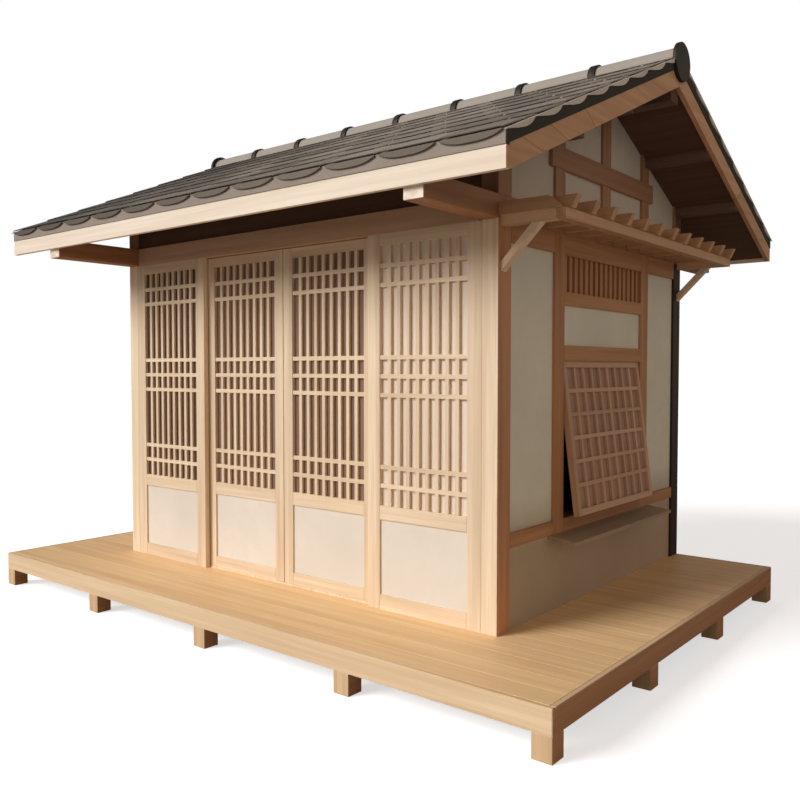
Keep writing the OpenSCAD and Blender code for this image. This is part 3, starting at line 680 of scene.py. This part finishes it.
def shingles():
    roof = Roof()
    under, tabs, lips = Stock(), Stock(), Stock()
    lay = roof.deck_t * math.cos(PITCH)
    butt = lay + TAB_RISE + TAB_T
    tab_w = 2 * roof.x / TABS
    for side in (-1, 1):
        edge_y = roof.half_span
        under.prism([(0, roof.z(0, ROOF_BOARD_T)), (side * edge_y, roof.z(edge_y, ROOF_BOARD_T)),
                     (side * edge_y, roof.z(edge_y, roof.deck_t)), (0, roof.z(0, roof.deck_t))],
                    2 * roof.x, Matrix.Translation((-roof.x, 0, 0)) @ PROFILE, 2, THICK_EDGE)
        for course in range(COURSES):
            last = course == COURSES - 1
            bottom = roof.run((course + 1) * roof.edge_y / COURSES - TAB_BACK, butt)
            top = max(bottom - TAB_LENGTH, roof.run(TAB_START, lay))
            tilt = Matrix.Rotation(math.asin(TAB_RISE / (bottom - top)), 4, "X")
            place = roof.frame(side) @ Matrix.Translation((0, top, lay)) @ tilt
            shift = (COURSES - 1 - course) % 2 / 2
            for i in range(TABS + (1 if shift else 0)):
                x0 = max(-roof.x + (i - shift) * tab_w, -roof.x - TAB_PAST) + TAB_GAP / 2
                x1 = min(-roof.x + (i + 1 - shift) * tab_w, roof.x + TAB_PAST) - TAB_GAP / 2
                length = bottom - top + (0 if last else rng.uniform(*TAB_STAGGER))
                corner = EAVE_CORNER if last else TAB_CORNER
                tabs.prism(tab_outline(x0, x1, 0, length, corner), TAB_T, place, 0, TAB_EDGE)
                if last:
                    z1 = roof.z(roof.edge_y, (butt - TAB_T) / math.cos(PITCH) - LIP_GAP)
                    face = Matrix(((side, 0, 0, 0), (0, 0, -side, side * (roof.edge_y - LIP_BACK)),
                                   (0, 1, 0, 0), (0, 0, 0, 1)))
                    lips.prism(lip_outline(x0, x1, z1), LIP_T, face, 0, THIN_EDGE)
    under.done("shingle_underlay", underlay, "cabin", "shingle", "shingles")
    tabs.done("shingle_tabs", shingle, "cabin", "shingle", "shingles")
    lips.done("eave_lips", lip, "cabin", "shingle")


def roof_edges():
    """Felt strips up the eaves, dark strips of painted shade up the verges and the tab ends drooping over
    them, in painted light.
    """
    roof = Roof()
    eaves, verges, droops = Stock(), Stock(), Stock()
    step = roof.edge_y / COURSES
    for side in (-1, 1):
        y = side * roof.half_span
        out = side * (roof.half_span + STRIP_T)
        foot = roof.z(roof.half_span)
        eaves.box((-roof.x, min(y, out), foot), (roof.x, max(y, out), foot + roof.deck_t), 0,
                  THIN_EDGE)
        outline = [(0, roof.z(0)), (y, roof.z(y)), (y, roof.z(y, roof.deck_t)), (0, roof.z(0, roof.deck_t))]
        for x in (-roof.x - STRIP_T, roof.x):
            profile(verges, outline, x, x + STRIP_T, edge=THIN_EDGE)
        for course in range(COURSES):
            y0 = course * step
            drop = [(y0, 0.0)] + [(y0 + a * step, -b * DROOP) for a, b in DROOP_SHAPE] + [(y0 + step, 0.0)]
            outline = [(side * y, roof.z(y, roof.deck_t + h)) for y, h in drop]
            for x in (-roof.x - TAB_PAST, roof.x + STRIP_T):
                profile(droops, outline, x, x + TAB_PAST - STRIP_T, edge=THIN_EDGE)
    eaves.done("eave_strips", felt, "cabin", "shingle")
    # Verge strips take a painted-shade colour
    verges.done("verge_strips", verge, "cabin", "shingle")
    # Verge droops take a painted-light colour
    droops.done("verge_droops", droop_lit, "cabin", "shingle")


def barges():
    """Barge boards, each in four lengths with slanted joints."""
    roof = Roof()
    lo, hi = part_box("barge_boards")
    thick = roof.half_span - hi.y
    height = roof.z(hi.y) - lo.z
    cuts = [(0.0, 0.0)] + [(hi.y - a, hi.y - b) for a, b in BARGE_CUTS] + [(hi.y, hi.y)]
    stock = Stock()
    for side in (-1, 1):
        for (top0, low0), (top1, low1) in zip(cuts, cuts[1:]):
            g0 = BARGE_JOINT if top0 else RIDGE_JOINT
            outline = [(top0 + g0, 0), (top1, 0), (low1, -height), (low0 + g0, -height)]
            outline = [(side * y, roof.z(y, h)) for y, h in outline]
            for x in (lo.x, hi.x - thick):
                profile(stock, outline, x, x + thick, 0, THIN_EDGE)
    stock.done("barge_timbers", barge_wood, "cabin", "barge_wood", "barge_boards")


# Studio

def studio():
    scene = bpy.context.scene
    scene.view_settings.view_transform = "Standard"
    world = bpy.data.worlds.new("studio")
    world.use_nodes = True
    scene.world = world
    tree = world.node_tree
    back = tree.nodes["Background"]
    path = tree.nodes.new("ShaderNodeLightPath")
    colour = tree.nodes.new("ShaderNodeMix")
    colour.data_type = "RGBA"
    tree.links.new(path.outputs["Is Camera Ray"], colour.inputs[0])
    sky = tree.nodes.new("ShaderNodeMix")
    sky.data_type = "RGBA"
    sky.inputs[6].default_value = shade(FILL, FILL_LOW)
    sky.inputs[7].default_value = shade(FILL, FILL_HIGH)
    where = tree.nodes.new("ShaderNodeTexCoord")
    xyz = tree.nodes.new("ShaderNodeSeparateXYZ")
    tree.links.new(where.outputs["Generated"], xyz.inputs[0])
    tree.links.new(xyz.outputs["Z"], sky.inputs[0])
    tree.links.new(sky.outputs[2], colour.inputs[6])
    colour.inputs[7].default_value = (1, 1, 1, 1)
    tree.links.new(colour.outputs[2], back.inputs["Color"])

    sun = bpy.data.lights.new("key", "SUN")
    sun.energy = KEY
    sun.angle = KEY_SOFT
    lamp = bpy.data.objects.new("key", sun)
    level = math.cos(KEY_UP)
    aim = Vector((math.sin(KEY_LEFT) * level, math.cos(KEY_LEFT) * level, -math.sin(KEY_UP)))
    lamp.rotation_euler = aim.to_track_quat("-Z", "Y").to_euler()
    scene.collection.objects.link(lamp)

    camera = bpy.data.cameras.new("camera")
    camera.lens = LENS
    camera.sensor_width = SENSOR
    eye = bpy.data.objects.new("camera", camera)
    eye.location = EYE
    eye.rotation_euler = (math.pi / 2 - DOWN, 0, YAW)
    scene.collection.objects.link(eye)
    scene.camera = eye
    floor()


def floor():
    """Pale floor that shows white to the camera where it is lit, and keeps the shadow."""
    mesh = bpy.data.meshes.new("floor")
    r = FLOOR_HALF
    mesh.from_pydata([(-r, -r, 0), (r, -r, 0), (r, r, 0), (-r, r, 0)], [], [(0, 1, 2, 3)])
    obj = bpy.data.objects.new("floor", mesh)
    bpy.context.scene.collection.objects.link(obj)
    s = Shader("floor")
    path = s.add("ShaderNodeLightPath").outputs["Is Camera Ray"]
    s.put(s.bsdf.inputs["Base Color"], s.mix(path, (0.35, 0.33, 0.31, 1), (0.9, 0.9, 0.9, 1)))
    s.bsdf.inputs["Roughness"].default_value = 0.9
    s.bsdf.inputs["Specular IOR Level"].default_value = 0.0
    s.bsdf.inputs["Emission Color"].default_value = (1, 1, 1, 1)
    s.put(s.bsdf.inputs["Emission Strength"], s.ramp(path, 0, FLOOR_GLOW))
    mesh.materials.append(s.material)


dress_all()
deck()
front_wall()
side_wall("right_wall_frame", True)
side_wall("left_wall_frame", False)
sash()
shingles()
roof_edges()
barges()
studio()
